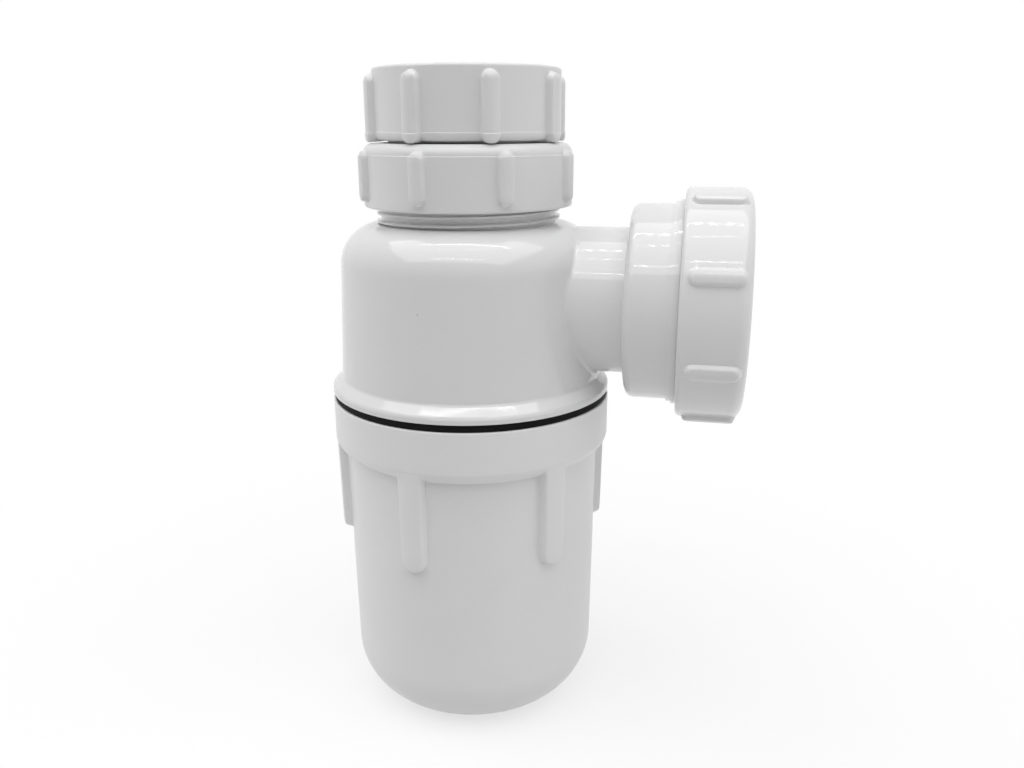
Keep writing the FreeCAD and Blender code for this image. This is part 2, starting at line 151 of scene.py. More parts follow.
def spin_sector(shape, count, steps, middle=0):
    """Sweep the wire through one of count sectors, centred on an angle."""
    sector = math.tau / count
    turn(shape, shape.verts[:], middle - sector / 2)
    bmesh.ops.spin(shape, geom=shape.verts[:] + shape.edges[:], cent=(0, 0, 0), axis=(0, 0, 1),
                   angle=sector, steps=steps)


def repeat_sector(shape, count):
    """Copy the sector round the circle and close it into one skin with outward faces."""
    sector = shape.verts[:] + shape.edges[:] + shape.faces[:]
    for index in range(1, count):
        copied = bmesh.ops.duplicate(shape, geom=sector)["geom"]
        spots = [part for part in copied if isinstance(part, bmesh.types.BMVert)]
        turn(shape, spots, index * math.tau / count)
    bmesh.ops.remove_doubles(shape, verts=shape.verts[:], dist=MERGE)
    bmesh.ops.recalc_face_normals(shape, faces=shape.faces[:])


def lay_over(shape):
    """Lay an upright shape along the outlet's axis."""
    quarter = Matrix.Rotation(math.pi / 2, 3, "Y")
    bmesh.ops.rotate(shape, verts=shape.verts[:], cent=(0, 0, 0), matrix=quarter)
    bmesh.ops.translate(shape, verts=shape.verts[:], vec=(0, 0, outlet_level * MM))


# %% [markdown]
# A finished piece is smooth-shaded apart from its real edges, and weighted normals keep its flat faces
# looking flat next to the rounded edges. It rides on the same body as the solid that it stands for.

# %% Hand a finished piece to the frame
SHARP_EDGE = math.radians(38)
body_of_node = {}
for body, nodes in frame["record"]["behaviour"]["bodies"].items():
    for node in nodes:
        body_of_node[node] = body
slot_of_node = {part["node"]: part["material_slot"] for part in frame["record"]["subparts"]}
pieces = {}


def to_mesh(shape, name):
    """Put a bmesh into a new mesh and let go of it."""
    mesh = bpy.data.meshes.new(name)
    shape.to_mesh(mesh)
    shape.free()
    return mesh


def finish_piece(mesh, node):
    """Make the mesh a piece that stands for a solid."""
    mesh.polygons.foreach_set("use_smooth", [True] * len(mesh.polygons))
    mesh.set_sharp_from_angle(angle=SHARP_EDGE)
    piece = bpy.data.objects.new(node + "_moulding", mesh)
    bpy.context.scene.collection.objects.link(piece)
    weighted = piece.modifiers.new("flat_faces", "WEIGHTED_NORMAL")
    weighted.keep_sharp = True
    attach(piece, body_of_node[node])
    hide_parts(node)
    pieces[node] = piece
    print(piece.name, "has", len(mesh.polygons), "faces")


# %% [markdown]
# ## Seals, washers and the tube
# The soft rings and the hard slip rings are plain sections. Their corners are barely broken on the real
# ones, which is enough to catch a thin line of light.

# %% Spin the rings
RING_SECTORS = 6
RING_STEPS = 60


def spin_ring(shape):
    """A full turn of a section that has no ribs."""
    spin_sector(shape, RING_SECTORS, RING_STEPS)
    repeat_sector(shape, RING_SECTORS)


def make_ring(node, hole, rounding, axis=UP, tapered=False):
    """A ring that fills its solid's box; the foot of a tapered one rises outwards, as a gland ring's."""
    low, high = level(node, LOW, axis), level(node, HIGH, axis)
    radius = level(node, HIGH, ACROSS)
    foot_rise = radius - hole if tapered else 0
    shape = section([
        (hole, low, rounding),
        (radius, low + foot_rise, rounding),
        (radius, high, rounding),
        (hole, high, rounding),
    ])
    spin_ring(shape)
    if axis == ALONG:
        lay_over(shape)
    finish_piece(to_mesh(shape, node), node)


tube_radius, tube_wall, pipe_bore = 16.7, 2.0, 18.45
slip_gap, grip_gap = 0.4, 0.35
tube_hole, pipe_hole = tube_radius + slip_gap, pipe_bore + slip_gap
make_ring("bottle_seal", hole=34.75, rounding=0.35)
make_ring("inlet_washer", hole=tube_radius - tube_wall + slip_gap, rounding=0.4)
make_ring("neck_slip_washer", hole=tube_hole, rounding=0.25)
make_ring("neck_seal", hole=tube_radius + grip_gap, rounding=0.3, tapered=True)
make_ring("outlet_slip_washer", hole=pipe_hole, rounding=0.25, axis=ALONG)
make_ring("outlet_seal", hole=pipe_bore, rounding=0.3, axis=ALONG, tapered=True)

# %% [markdown]
# The dip tube slides through the neck. Its flange sits inside the inlet nut and its mouth hangs in the
# bottle's water, where it is seen only when the trap is taken apart or looked into from above.

# %% Spin the dip tube
flange_height = 2.2
tube_foot, tube_top = level("dip_tube", LOW), level("dip_tube", HIGH)
flange_radius = level("dip_tube", HIGH, ACROSS)
shape = section([
    (tube_radius - tube_wall, tube_foot, 0.6),
    (tube_radius, tube_foot, 0.6),
    (tube_radius, tube_top - flange_height, 0.4),
    (flange_radius, tube_top - flange_height, 0.3),
    (flange_radius, tube_top, 0.3),
    (tube_radius - tube_wall, tube_top, 0.5),
])
spin_ring(shape)
finish_piece(to_mesh(shape, "dip_tube"), "dip_tube")

# %% [markdown]
# ## Grip ribs
# The nuts and the bottle are turned by hand, so they carry ribs: bars with round ends and soft sides that
# run out into the wall. Separate bars joined by a boolean would leave a hard seam, so the ribs are drawn
# out of the wall itself. Each point of the wall measures how far it is from the rib's middle line, and
# moves out by a soft step of that distance: a small hollow at the foot, then a round shoulder. The face
# between the shoulders is crowned, and the ends are rounded: a dome at the top and a blunter toe below.
# A toe can also hang a little below the wall's edge, as on the top nut.

# %% Draw ribs out of a wall
HOLLOW = 0.12


def soft_step(share):
    """Rise from 0 to 1: hollow at first, then rounded."""
    share = min(max(share, 0), 1)
    if share < HOLLOW:
        return share * share / HOLLOW
    return 1 - (1 - share) ** 2 / (1 - HOLLOW)


def rib_share(spot, ribs):
    """How much of the rib's full height a point of the wall takes, from 0 to 1."""
    pitch = math.tau / ribs["count"]
    round_by = math.atan2(spot.co.y, spot.co.x) - math.radians(ribs["first_deg"])
    across = ((round_by + pitch / 2) % pitch - pitch / 2) * ribs["face"]
    height = spot.co.z / MM
    half = ribs["width"] / 2
    reach = half + ribs["root"]
    above = max(0, height - (ribs["high"] - half))
    below = max(0, ribs["low"] + half - height)
    flank = soft_step((reach - math.hypot(across, above + below)) / (ribs["side"] + ribs["root"]))
    crown = 1 - ribs["crown"] * min(abs(across) / reach, 1) ** 2
    dome = max(0, 1 - (above / reach) ** 2) ** (ribs["dome"] / 2)
    toe = max(0, 1 - (below / reach) ** 2) ** (ribs["toe"] / 2)
    return flank * crown * dome * toe


def raise_ribs(shape, ribs):
    """Move the outer wall's points out to the ribs' faces."""
    for spot in shape.verts:
        radius = math.hypot(spot.co.x, spot.co.y) / MM
        if radius < ribs["from_radius"]:
            continue
        face = ribs["face"] - ribs.get("draft", 0) * max(0, ribs["high"] - spot.co.z / MM)
        out = radius + rib_share(spot, ribs) * max(0, face - radius)
        spot.co.x *= out / radius
        spot.co.y *= out / radius


def drop_toes(shape, ribs):
    """Let the ribs' lower ends hang below the wall's edge."""
    for spot in shape.verts:
        if math.hypot(spot.co.x, spot.co.y) / MM > ribs["from_radius"]:
            toe_part = max(0, 1 - (spot.co.z / MM - ribs["low"]) / ribs["width"])
            spot.co.z -= ribs["drop"] * MM * rib_share(spot, ribs) * toe_part


# %% [markdown]
# A spin spaces its columns evenly, but a rib turns sharply at its flanks and is plain elsewhere. So the
# columns are moved round before the rib is raised: a few for its face, many for its flanks, and the rest
# for the wall between two ribs. The rib gets crisp edges without more points.

# %% Crowd the columns at the flanks
FACE_COLUMNS, FLANK_COLUMNS = 10, 10


def crowd_columns(shape, ribs, steps):
    """Move the sector's columns together where the rib's flanks will be."""
    half = ribs["width"] / 2
    pitch = math.tau / ribs["count"]
    marks = [
        (0, 0),
        (FACE_COLUMNS, (half - ribs["side"]) / ribs["face"]),
        (FACE_COLUMNS + FLANK_COLUMNS, (half + ribs["root"]) / ribs["face"]),
        (steps / 2, pitch / 2),
    ]
    to_rib = Matrix.Rotation(-math.radians(ribs["first_deg"]), 3, "Z")
    for spot in shape.verts:
        seen = to_rib @ spot.co
        angle = math.atan2(seen.y, seen.x)
        column = abs(angle) / pitch * steps
        for (low, start), (high, end) in zip(marks, marks[1:]):
            if low - NEAR < column <= high + NEAR:
                moved = start + (end - start) * (column - low) / (high - low)
        spot.co.rotate(Matrix.Rotation(math.copysign(moved, angle) - angle, 3, "Z"))


# %% [markdown]
# Where two halves of a mould meet they never match exactly, and the fatter half leaves a fine ledge, the
# parting line. Here everything below the line, ribs as well, stands out by a hair, and the ledge catches
# the light from above.

# %% Step a wall out at its parting line and make a ribbed skin
LEDGE_OUT = 0.14
LEDGE_RISE = 0.13


def line_rows(radius, height):
    """Two corners of a section for the foot and the top of the ledge."""
    return [(radius, height, 0), (radius, height + LEDGE_RISE, 0)]


def step_out(shape, height, beyond):
    """Move the wall below the parting line out by the ledge."""
    for spot in shape.verts:
        radius = math.hypot(spot.co.x, spot.co.y) / MM
        if radius > beyond and spot.co.z / MM < height + NEAR:
            spot.co.x *= 1 + LEDGE_OUT / radius
            spot.co.y *= 1 + LEDGE_OUT / radius


def ribbed_skin(shape, ribs, steps, line=None):
    """Spin a section into a skin with ribs: one sector with its rib, repeated."""
    spin_sector(shape, ribs["count"], steps, math.radians(ribs["first_deg"]))
    crowd_columns(shape, ribs, steps)
    raise_ribs(shape, ribs)
    if line:
        step_out(shape, line, ribs["from_radius"])
    if "drop" in ribs:
        drop_toes(shape, ribs)
    repeat_sector(shape, ribs["count"])


# %% [markdown]
# ## Threads
# A nut's thread is a ridge that climbs as it goes round. A spin with a small rise at each step sweeps a
# section along that helix. The ridge is then welded to the bore by a boolean union, because a real nut
# and its thread are one moulding.

# %% Sweep a thread ridge and weld it in
TURN_STEPS = 120
BITE = 0.3
MOULDED_DEPTH = 1.1


def thread_ridge(bore, foot, crest_radius, crest, pitch, start, length):
    """A closed helical ridge inside a bore, sunk a little into the bore's wall."""
    shape = bmesh.new()
    wall = bore + BITE
    corners = [(wall, -foot / 2), (wall, foot / 2), (crest_radius, crest / 2), (crest_radius, -crest / 2)]
    spots = [shape.verts.new((radius * MM, 0, (start + rise) * MM)) for radius, rise in corners]
    turns = length / pitch
    steps = round(turns * TURN_STEPS)
    bmesh.ops.spin(shape, geom=[shape.faces.new(spots)], cent=(0, 0, 0), axis=(0, 0, 1),
                   dvec=(0, 0, length * MM / steps), angle=math.tau * turns, steps=steps)
    bmesh.ops.recalc_face_normals(shape, faces=shape.faces[:])
    return shape


def weld(wall, ridge, name):
    """One mesh of the wall and the ridge together."""
    joined = bpy.data.objects.new(name + "_wall", to_mesh(wall, name + "_wall"))
    tool = bpy.data.objects.new(name + "_ridge", to_mesh(ridge, name + "_ridge"))
    for item in (joined, tool):
        bpy.context.scene.collection.objects.link(item)
    union = joined.modifiers.new("thread", "BOOLEAN")
    union.operation = "UNION"
    union.solver = "MANIFOLD"
    union.object = tool
    bpy.context.view_layer.update()
    evaluated = joined.evaluated_get(bpy.context.evaluated_depsgraph_get())
    mesh = bpy.data.meshes.new_from_object(evaluated)
    bpy.data.objects.remove(joined)
    bpy.data.objects.remove(tool)
    return mesh


# %% [markdown]
# ## The inlet nut
# The top nut pulls the trap up on to the basin's waste. Its wall is plain with eight proud ribs whose
# upper ends are domed, and a fine parting line runs round it near the foot. A small lip under it and the
# ribs' toes nearly rest on the nut below. The standard pipe thread inside shows from above.

# %% Make the inlet nut
NUT_STEPS = 64
PLAIN_ROW, END_ROW = 0.6, 0.16
inlet_foot, inlet_top = level("inlet_nut", LOW), level("inlet_nut", HIGH)
inlet_radius, inlet_root, inlet_crest = 23.7, 20.955, 19.476
inlet_lip = 2.4
mouth_out, mouth_deep = 0.3, 0.5
inlet_line = inlet_foot + 2.0
inlet_dome = inlet_top - 4.2
lip_radius, lip_proud = 20.2, 0.45
shape = section([
    (tube_hole, inlet_foot - lip_proud, 0.1),
    (lip_radius, inlet_foot - lip_proud, 0.1),
    (lip_radius, inlet_foot, 0),
    (inlet_radius, inlet_foot, 1.7),
    *line_rows(inlet_radius, inlet_line),
    (inlet_radius, inlet_dome, 0),
    (inlet_radius, inlet_top, 0.7),
    (inlet_root + mouth_out, inlet_top, 0.2),
    (inlet_root, inlet_top - mouth_deep, 0),
    (inlet_root, inlet_foot + inlet_lip, 0.3),
    (tube_hole, inlet_foot + inlet_lip, 0.3),
])
cut_rows(shape, PLAIN_ROW, inlet_foot, inlet_dome, inlet_radius)
cut_rows(shape, END_ROW, inlet_dome, inlet_top, inlet_radius)
inlet_ribs = {
    "count": 8, "first_deg": -62.6, "width": 4.9, "face": inlet_radius + 2.15,
    "low": inlet_foot - 0.5, "high": inlet_top - 1.3, "from_radius": inlet_root + 0.6, "drop": 0.5,
    "side": 0.45, "root": 0.1, "crown": 0.35, "dome": 1, "toe": 0.4,
}
ribbed_skin(shape, inlet_ribs, NUT_STEPS, inlet_line)
ridge = thread_ridge(bore=inlet_root, foot=1.95, crest_radius=inlet_crest, crest=0.35, pitch=2.309,
                     start=inlet_top - 8.8, length=7.6)
finish_piece(weld(shape, ridge, "inlet_nut"), "inlet_nut")

# %% [markdown]
# ## The neck nut
# The lower nut squeezes the gland ring on to the sliding tube. Its ribs are shorter, and they run up over
# the rounded top edge.

# %% Make the neck nut
neck_foot, neck_top = level("neck_nut", LOW), level("neck_nut", HIGH)
neck_radius, neck_bore = 26.6, 24.0
neck_plate = 2.6
neck_line = neck_top - 2.75
neck_toe_top = neck_foot + 4
shape = section([
    (neck_bore, neck_foot, 0.25),
    (neck_radius, neck_foot, 0.5),
    (neck_radius, neck_toe_top, 0),
    *line_rows(neck_radius, neck_line),
    (neck_radius, neck_top, 2.6),
    (tube_hole, neck_top, 0.3),
    (tube_hole, neck_top - neck_plate, 0.2),
    (neck_bore, neck_top - neck_plate, 0.2),
])
cut_rows(shape, END_ROW, neck_foot, neck_toe_top, neck_radius)
cut_rows(shape, PLAIN_ROW, neck_toe_top, neck_top, neck_radius)
neck_ribs = {
    "count": 8, "first_deg": -101.4, "width": 4.3, "face": neck_radius + 1.75,
    "low": neck_foot + 1.5, "high": neck_top - 1.4, "from_radius": neck_bore + 0.4,
    "side": 0.45, "root": 0.1, "crown": 0.35, "dome": 0.8, "toe": 0.5,
}
ribbed_skin(shape, neck_ribs, NUT_STEPS, neck_line)
ridge = thread_ridge(bore=neck_bore, foot=1.25, crest_radius=neck_bore - MOULDED_DEPTH, crest=0.55, pitch=2.0,
                     start=neck_foot + 2.2, length=6.1)
finish_piece(weld(shape, ridge, "neck_nut"), "neck_nut")

# %% [markdown]
# ## The outlet nut
# The side nut squeezes a rubber ring on to the waste pipe. It is made upright like the others and then
# laid along the outlet.

# %% Make the outlet nut
skirt = 0.3
outlet_back, outlet_front = level("outlet_nut", LOW, ALONG) - skirt, level("outlet_nut", HIGH, ALONG)
outlet_radius, outlet_bore = 28.9, 26.5
outlet_plate = 2.65
outlet_toe_top, outlet_dome = outlet_back + 5, outlet_front - 4.5
shape = section([
    (outlet_bore, outlet_back, 0.25),
    (outlet_radius, outlet_back, 1.2),
    (outlet_radius, outlet_toe_top, 0),
    (outlet_radius, outlet_dome, 0),
    (outlet_radius, outlet_front, 3.2),
    (pipe_hole, outlet_front, 0.4),
    (pipe_hole, outlet_front - outlet_plate, 0.3),
    (outlet_bore, outlet_front - outlet_plate, 0.3),
])
cut_rows(shape, END_ROW, outlet_back, outlet_toe_top, outlet_radius)
cut_rows(shape, PLAIN_ROW, outlet_toe_top, outlet_dome, outlet_radius)
cut_rows(shape, END_ROW, outlet_dome, outlet_front, outlet_radius)
outlet_ribs = {
    "count": 8, "first_deg": -112.5, "width": 4.4, "face": outlet_radius + 1.35,
    "low": outlet_back + 1.7, "high": outlet_front - 1.4, "from_radius": outlet_bore + 0.4,
    "side": 0.7, "root": 0.15, "crown": 0.45, "dome": 0.4, "toe": 0.4,
}
ribbed_skin(shape, outlet_ribs, NUT_STEPS)
ridge = thread_ridge(bore=outlet_bore, foot=1.671, crest_radius=outlet_bore - MOULDED_DEPTH, crest=0.871,
                     pitch=2.5, start=outlet_back + skirt + 2.05, length=7.3)
lay_over(shape)
lay_over(ridge)
finish_piece(weld(shape, ridge, "outlet_nut"), "outlet_nut")

# %% [markdown]
# ## The bottle
# The cup screws off for cleaning. Its wall tapers a little and its foot is a wide curve. The collar swells
# out of the wall over a soft step, and six broad ribs grow out of the collar and die into the wall. The
# outside and the inside are two chains of corners that meet at the rim.

# %% Draw the bottle's section
rim, collar_radius = level("bottle", HIGH), level("bottle", HIGH, ACROSS)
bottle_foot, bottle_neck, base_round = 33.6, 34.5, 16.5
rib_low, collar_low, collar_high = 49.4, 74.3, 77.9
TOE_ROW, WALL_ROW, SWELL_ROW, COLLAR_ROW = 0.2, 1.2, 0.12, 1.0
wall_height = rib_low - 3
toe_top = wall_height + 9
wall_radius = bottle_foot + (bottle_neck - bottle_foot) * wall_height / collar_low
shape = section([
    (0, 0, 0),
    (bottle_foot, 0, base_round),
    (wall_radius, wall_height, 0),
    (wall_radius, toe_top, 0),
    (bottle_neck, collar_low, 0),
    (bottle_neck, collar_high, 0),
    (bottle_neck, rim, 0),
], closed=False)
cut_rows(shape, TOE_ROW, wall_height, toe_top, bottle_foot)
cut_rows(shape, WALL_ROW, toe_top, collar_low, bottle_foot)
cut_rows(shape, SWELL_ROW, collar_low, collar_high, bottle_foot)
cut_rows(shape, COLLAR_ROW, collar_high, rim, bottle_foot)
for spot in shape.verts:
    rise = soft_step((spot.co.z / MM - collar_low) / (collar_high - collar_low))
    spot.co.x += rise * (collar_radius * MM - spot.co.x)
print("bottle section drawn with", len(shape.verts), "points")

# %% [markdown]
# The inside is drawn with its own corners and joined to the outside where both reach the rim. It has to be
# there before the spin, so that the skin closes and its faces know which way is out.

# %% Make the bottle
BOTTLE_STEPS = 88
bottle_wall, bottle_floor = 2.3, 2.5
bottle_bore, bottle_waist, bore_foot = 34.7, 32.15, 78.0
inside = section([
    (0, bottle_floor, 0),
    (bottle_foot - bottle_wall, bottle_floor, base_round - bottle_floor),
    (bottle_waist, bore_foot - (bottle_bore - bottle_waist), 0),
    (bottle_bore, bore_foot, 0),
    (bottle_bore, rim, 0.2),
    (collar_radius, rim, 0),
], closed=False)
shape.from_mesh(to_mesh(inside, "bottle_inside"))
bmesh.ops.remove_doubles(shape, verts=shape.verts[:], dist=NEAR * MM)
rim_spot = max(shape.verts, key=lambda spot: spot.co.x + spot.co.z)
round_corner(shape, rim_spot, 0.3)
bottle_ribs = {
    "count": 6, "first_deg": -100.9, "width": 7.2, "face": collar_radius - 0.05,
    "low": rib_low, "high": collar_high + 3.6, "from_radius": bottle_foot,
    "draft": math.tan(math.radians(1.0)), "side": 0.8, "root": 0.2, "crown": 0.25, "dome": 0, "toe": 0.5,
}
ribbed_skin(shape, bottle_ribs, BOTTLE_STEPS)
ridge = thread_ridge(bore=bottle_bore, foot=1.993, crest_radius=bottle_bore - MOULDED_DEPTH, crest=1.093,
                     pitch=3.0, start=bore_foot + 1.1, length=7.9)
finish_piece(weld(shape, ridge, "bottle"), "bottle")

# %% [markdown]
# ## Finishes
# A material is a small tree of nodes. Writing the tree as arithmetic keeps it readable: a wire stands for
# one output of a node, adding or multiplying wires adds Math nodes, and every other node comes from one
# method that takes its settings and then its inputs.


# %% Do arithmetic with wires
class Wire:
    """One output of a node in a tree."""

    def __init__(self, tree, socket=None):
        self.tree = tree
        self.socket = socket

    def node(self, kind, settings, inputs, output=0):
        """Add a node: its settings first, then the values or wires of its inputs."""
        made = self.tree.nodes.new(kind)
        for key, value in settings.items():
            setattr(made, key, value)
        for key, value in inputs.items():
            if isinstance(value, Wire):
                self.tree.links.new(value.socket, made.inputs[key])
            else:
                made.inputs[key].default_value = value
        return Wire(self.tree, made.outputs[output] if made.outputs else None)

    def maths(self, operation, first, second):
        """Add a Math node of two numbers or wires."""
        return self.node("ShaderNodeMath", {"operation": operation}, {0: first, 1: second})

    def __add__(self, other):
        return self.maths("ADD", self, other)

    def __sub__(self, other):
        return self.maths("SUBTRACT", self, other)

    def __rsub__(self, other):
        return self.maths("SUBTRACT", other, self)

    def __mul__(self, other):
        return self.maths("MULTIPLY", self, other)

    __radd__ = __add__
    __rmul__ = __mul__


# %% [markdown]
# Most finishes here need the same few things: soft random patches of a given size, a colour between two
# others, and a value that fades out. All of them read the place on the piece itself, so the pattern stays
# put when the piece moves.

# %% Name the usual nodes
MIX_FACTOR, MIX_A, MIX_B, MIX_RESULT = 0, 6, 7, 2


def open_material(name):
    """A new material with an empty tree, its first wire and the place on the piece."""
    material = bpy.data.materials.new(name)
    material.use_nodes = True
    material.node_tree.nodes.clear()
    start = Wire(material.node_tree)
    return material, start, start.node("ShaderNodeTexCoord", {}, {}, "Object")


def patches(place, size, detail=2.0):
    """Soft random patches about that many millimetres across, from 0 to 1."""
    return place.node("ShaderNodeTexNoise", {},
                      {"Vector": place, "Scale": 1 / (size * MM), "Detail": detail}, "Fac")


def between(factor, first, second):
    """A colour between two, by a wire from 0 to 1."""
    return factor.node("ShaderNodeMix", {"data_type": "RGBA"},
                       {MIX_FACTOR: factor, MIX_A: first, MIX_B: second}, MIX_RESULT)


def fade(value, low, high):
    """1 below low, 0 above high, and smooth between."""
    return 1 - value.node("ShaderNodeMapRange", {"interpolation_type": "SMOOTHSTEP"},
                          {"Value": value, "From Min": low, "From Max": high})


def grey(value):
    """A neutral colour of that brightness."""
    return (value, value, value, 1)


def close_material(colour, roughness, normal, fixed):
    """Send a finish to the output: what varies by wire, and what is the same all over as fixed values."""
    inputs = {"Base Color": colour, "Roughness": roughness, "Normal": normal}
    shader = colour.node("ShaderNodeBsdfPrincipled", {}, {**inputs, **fixed})
    colour.node("ShaderNodeOutputMaterial", {}, {"Surface": shader})


# %% [markdown]
# ## White moulded plastic
# The trap is moulded in white plastic. Close up it isn't one flat white: the pigment clouds a little, the
# mould's skin leaves a fine grain, and a few dark specks come from burnt plastic in the press. The body
# comes from a polished mould and the nuts and the bottle from duller ones, so one function makes them all
# with the gloss and the grain as inputs.

# %% Make white plastic
CLOUD_SIZE, GRAIN_SIZE, RIPPLE_SIZE, SPECK_SPACING = 14, 0.45, 6, 11
SPECK_CORE, SPECK_EDGE = 0.012, 0.022
SPECK_STRENGTH, SPECK_GREY = 0.4, 0.12


def white_plastic(name, brightness, gloss_roughness, grain_depth, ripple_depth):
    """Moulded white plastic; depths of the fine grain and of the slow ripple are in millimetres."""
    material, start, place = open_material(name)
    clouds = patches(place, CLOUD_SIZE, 3.0)
    grain = patches(place, GRAIN_SIZE, 2.0)
    ripple = patches(place, RIPPLE_SIZE, 1.0)
    pigment = 0.55 * clouds + 0.45 * grain
    white = between(pigment, grey(brightness * 0.955), grey(brightness * 1.03))
    spacing = {"Vector": place, "Scale": 1 / (SPECK_SPACING * MM)}
    cells = start.node("ShaderNodeTexVoronoi", {}, spacing, "Distance")
    specks = fade(cells, SPECK_CORE, SPECK_EDGE)
    colour = between(specks * SPECK_STRENGTH, white, grey(SPECK_GREY))
    roughness = gloss_roughness * (0.75 + 0.3 * clouds + 0.2 * grain)
    waves = start.node("ShaderNodeBump", {},
                       {"Height": ripple, "Distance": ripple_depth * MM, "Strength": 1.0})
    skin = start.node("ShaderNodeBump", {},
                      {"Height": grain, "Distance": grain_depth * MM, "Strength": 1.0, "Normal": waves})
    close_material(colour, roughness, skin, {"IOR": 1.5})
    return material


# %% [markdown]
# ## Rubber and slip plastic
# The seals are black rubber: nearly no colour, a dull sheen, and a dusty bloom in patches. The slip rings
# are hard plastic without pigment, milky and matt.

# %% Make rubber and slip plastic
DUST_SIZE, RUBBER_GRAIN_SIZE, MILK_CLOUD_SIZE = 5, 0.3, 4
SKIN_DEPTH = 0.01


def black_rubber(name, bloom):
    """Dull black rubber with a little grey bloom."""
    material, start, place = open_material(name)
    dust = patches(place, DUST_SIZE, 4.0)
    grain = patches(place, RUBBER_GRAIN_SIZE, 3.0)
    colour = between(dust * bloom, grey(0.002), grey(0.02))
    skin = start.node("ShaderNodeBump", {}, {"Height": grain, "Distance": SKIN_DEPTH * MM, "Strength": 1.0})
    close_material(colour, 0.55 + 0.2 * dust, skin, {"Specular IOR Level": 0.1})
    return material


def milky_plastic(name):
    """Hard slip-ring plastic without pigment."""
    material, start, place = open_material(name)
    clouds = patches(place, MILK_CLOUD_SIZE, 3.0)
    colour = between(clouds, (0.66, 0.66, 0.62, 1), (0.78, 0.78, 0.75, 1))
    skin = start.node("ShaderNodeBump", {}, {"Height": clouds, "Distance": SKIN_DEPTH * MM, "Strength": 1.0})
    close_material(colour, 0.45 + 0.12 * clouds, skin, {"IOR": 1.5})
    return material


# %% [markdown]
# The record says which plastic each piece is, and the finish follows from that. The outlet nut is named
# with the other nuts, but it came from a polished mould like the body's, so it has a finish of its own.

# %% Give every piece its finish
POLISHED, POLISHED_GRAIN = 0.045, 0.0003
finishes = {
    "body_plastic": white_plastic("body_gloss_white", 0.80, POLISHED, POLISHED_GRAIN, ripple_depth=0.012),
    "nut_plastic": white_plastic("nut_satin_white", 0.79, 0.36, grain_depth=0.004, ripple_depth=0.01),
    "bottle_plastic": white_plastic("bottle_satin_white", 0.85, 0.34, grain_depth=0.003, ripple_depth=0.02),
    "tube_plastic": white_plastic("tube_smooth_white", 0.79, 0.28, grain_depth=0.002, ripple_depth=0.01),
    "slip_plastic": milky_plastic("slip_ring_milky"),
    "seal_rubber": black_rubber("bottle_seal_rubber", bloom=0.4),
    "washer_rubber": black_rubber("washer_rubber", bloom=0.7),
}
outlet_finish = white_plastic("outlet_nut_gloss_white", 0.80, POLISHED, POLISHED_GRAIN, ripple_depth=0.008)
pieces["trap_body"] = frame["nodes"]["trap_body"]
for node, piece in pieces.items():
    piece.data.materials.clear()
    piece.data.materials.append(outlet_finish if node == "outlet_nut" else finishes[slot_of_node[node]])
print(len(pieces), "pieces finished")

# %% [markdown]
# ## Floor and room
# The trap stands on white paper in a white tent. The eye, the gloss and any glass see the tent as plain
# white, while the light that it gives is weaker, so that the pale plastic keeps its shades.

# %% Make the tent
TENT_LIGHT = 0.02


def seen_rays(start):
    """1 for rays of the eye, of gloss and of glass, and 0 for light on its way."""
    rays = ["Is Camera Ray", "Is Glossy Ray", "Is Transmission Ray"]
    camera_ray, glossy, through = [start.node("ShaderNodeLightPath", {}, {}, ray) for ray in rays]
    return start.maths("MAXIMUM", start.maths("MAXIMUM", camera_ray, glossy), through)


world = bpy.data.worlds.new("white_tent")
bpy.context.scene.world = world
world.use_nodes = True
world.node_tree.nodes.clear()
start = Wire(world.node_tree)
strength = TENT_LIGHT + (1 - TENT_LIGHT) * seen_rays(start)
tent = start.node("ShaderNodeBackground", {}, {"Color": grey(1), "Strength": strength})
start.node("ShaderNodeOutputWorld", {}, {"Surface": tent})
print("tent gives", TENT_LIGHT, "of the light that it shows")

# %% [markdown]
# The paper glows a little where it is seen, so that it looks white and still takes the trap's shadow, and
# further away it fades to plain white, which leaves no horizon. The light on its way meets plain paper.
# The paper moves with the bottle, because a trap that stands on a bench stays on it when the bottle is
# unscrewed.

# %% Lay the paper
PAPER_HALF = 4
PAPER_WHITE, PAPER_GLOW = 0.74, 0.68
PAPER_NEAR, PAPER_FAR = 0.07, 0.24
shape = bmesh.new()
bmesh.ops.create_grid(shape, x_segments=1, y_segments=1, size=PAPER_HALF)
paper = bpy.data.objects.new("paper", to_mesh(shape, "paper"))
bpy.context.scene.collection.objects.link(paper)
paper.parent = frame["bodies"]["bottle"]
material, start, place = open_material("white_paper")
plain = start.node("ShaderNodeBsdfDiffuse", {}, {"Color": grey(PAPER_WHITE)})
shaded = start.node("ShaderNodeBsdfDiffuse", {}, {"Color": grey(1 - PAPER_GLOW)})
glow = start.node("ShaderNodeEmission", {}, {"Color": grey(1), "Strength": PAPER_GLOW})
seen = start.node("ShaderNodeAddShader", {}, {0: shaded, 1: glow})
white = start.node("ShaderNodeEmission", {}, {"Color": grey(1), "Strength": 1.0})
away = start.node("ShaderNodeVectorMath", {"operation": "LENGTH"}, {0: place}, "Value")
near = start.node("ShaderNodeMixShader", {}, {0: fade(away, PAPER_NEAR, PAPER_FAR), 1: white, 2: seen})
shown = start.node("ShaderNodeMixShader", {}, {0: seen_rays(start), 1: plain, 2: near})
start.node("ShaderNodeOutputMaterial", {}, {"Surface": shown})
paper.data.materials.append(material)

# %% [markdown]
# ## Lamps
# One wide soft lamp overhead, a little towards the camera, makes the tops brighter than the sides, and it
# shows as a pale window in the glossy shoulder. Weak lamps at the left, at the right and behind keep the
# trap's flanks pale, and gloss doesn't see them.


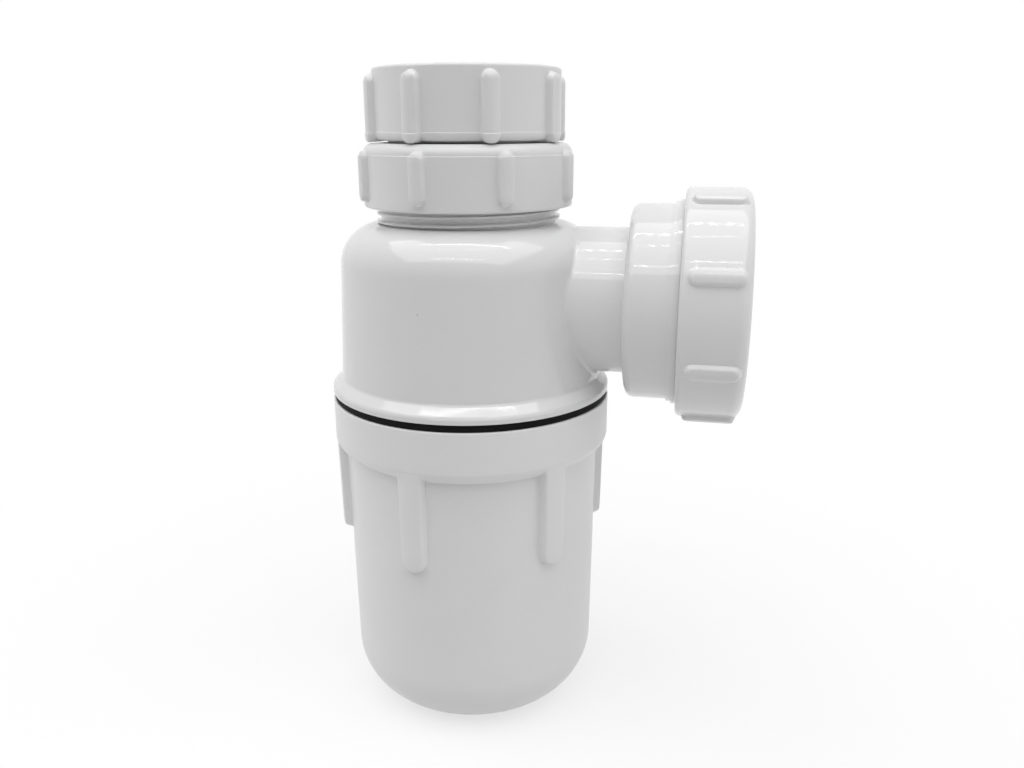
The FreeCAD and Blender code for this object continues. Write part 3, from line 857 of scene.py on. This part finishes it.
# %% Hang the soft lamps
def hang_lamp(name, place, size, energy, tilt):
    """A soft lamp, its size in metres along and across, turned by tilt; no camera sees it."""
    data = bpy.data.lights.new(name, "AREA")
    data.shape = "RECTANGLE"
    data.size, data.size_y = size
    data.energy = energy
    lamp = bpy.data.objects.new(name, data)
    lamp.location = place
    lamp.rotation_euler = tilt
    lamp.visible_camera = False
    bpy.context.scene.collection.objects.link(lamp)
    return lamp


hang_lamp("ceiling", place=(0, -0.30, 1.28), size=(2.4, 1.7), energy=25.7, tilt=(math.radians(13), 0, 0))
SIDE_REACH, SIDE_HEIGHT, SIDE_SIZE = 0.8, 0.25, 0.6
for along, across in ((-SIDE_REACH, 0), (SIDE_REACH, 0), (0, SIDE_REACH)):
    outward = Vector((along, across, 0)).to_track_quat("Z", "Y").to_euler()
    side_lamp = hang_lamp("side_lamp", place=(along, across, SIDE_HEIGHT), size=(SIDE_SIZE, SIDE_SIZE),
                          energy=1.4, tilt=outward)
    side_lamp.visible_glossy = False
print(len(bpy.data.lights), "soft lamps hung")

# %% [markdown]
# Rows of small lamps in the ceiling leave the dotted streaks that show on glossy plastic. They are seen by
# gloss only, so they may be as bright as the streaks need without changing the light. Two rows are straight,
# and a thin one is bent so that its streak runs along the flange.

# %% Hang the rows of small lamps
material, start, place = open_material("lamp_row")
glow = start.node("ShaderNodeEmission", {}, {"Color": grey(1), "Strength": 20.0})
start.node("ShaderNodeOutputMaterial", {}, {"Surface": glow})
ROWS = [
    {"half_width": 0.022, "across": 0.03, "tilt": 0, "bend": 0},
    {"half_width": 0.007, "across": -0.255, "tilt": 0.232, "bend": 0.57},
    {"half_width": 0.022, "across": -0.82, "tilt": 0, "bend": 0},
]
ROW_HALF_LENGTH, ROW_HEIGHT = 0.45, 1.1
CELLS_IN_ROW, CELLS_PER_LAMP = 135, 3
shape = bmesh.new()
for row in ROWS:
    strip = bmesh.ops.create_grid(shape, x_segments=CELLS_IN_ROW, y_segments=1, size=1)["verts"]
    bmesh.ops.scale(shape, verts=strip, vec=(ROW_HALF_LENGTH, row["half_width"], 1))
    bmesh.ops.translate(shape, verts=strip, vec=(0, row["across"], ROW_HEIGHT))
    for spot in strip:
        spot.co.y += row["tilt"] * spot.co.x + row["bend"] * spot.co.x ** 2
gaps = [face for index, face in enumerate(shape.faces) if index % CELLS_PER_LAMP]
bmesh.ops.delete(shape, geom=gaps, context="FACES")
rows = bpy.data.objects.new("lamp_rows", to_mesh(shape, "lamp_rows"))
rows.data.materials.append(material)
rows.visible_camera = False
rows.visible_diffuse = False
rows.visible_shadow = False
bpy.context.scene.collection.objects.link(rows)
print(len(rows.data.polygons), "small lamps in", len(ROWS), "rows")

# %% [markdown]
# ## Camera
# The camera stands a little above the trap and looks down at it, turned so that the outlet points to the
# right and slightly away.

# %% Place the camera
camera_data = bpy.data.cameras.new("portrait")
camera_data.lens = 31.07
camera_data.sensor_width = 36
camera_data.clip_start = 0.01
camera = bpy.data.objects.new("portrait", camera_data)
bpy.context.scene.collection.objects.link(camera)
camera_place = Vector((59.81, -226.38, 158.31)) * MM
turned_left, tilted_down, rolled = math.radians(12.079), math.radians(16.354), math.radians(-0.15)
ahead = Matrix.Rotation(turned_left, 3, "Z") @ Matrix.Rotation(-tilted_down, 3, "X") @ Vector((0, 1, 0))
facing = ahead.to_track_quat("-Z", "Y").to_matrix().to_4x4()
camera.matrix_world = Matrix.Translation(camera_place) @ facing @ Matrix.Rotation(rolled, 4, "Z")
bpy.context.scene.camera = camera
bpy.context.scene.view_settings.view_transform = "Standard"
print("camera looks along", [round(part, 3) for part in ahead])
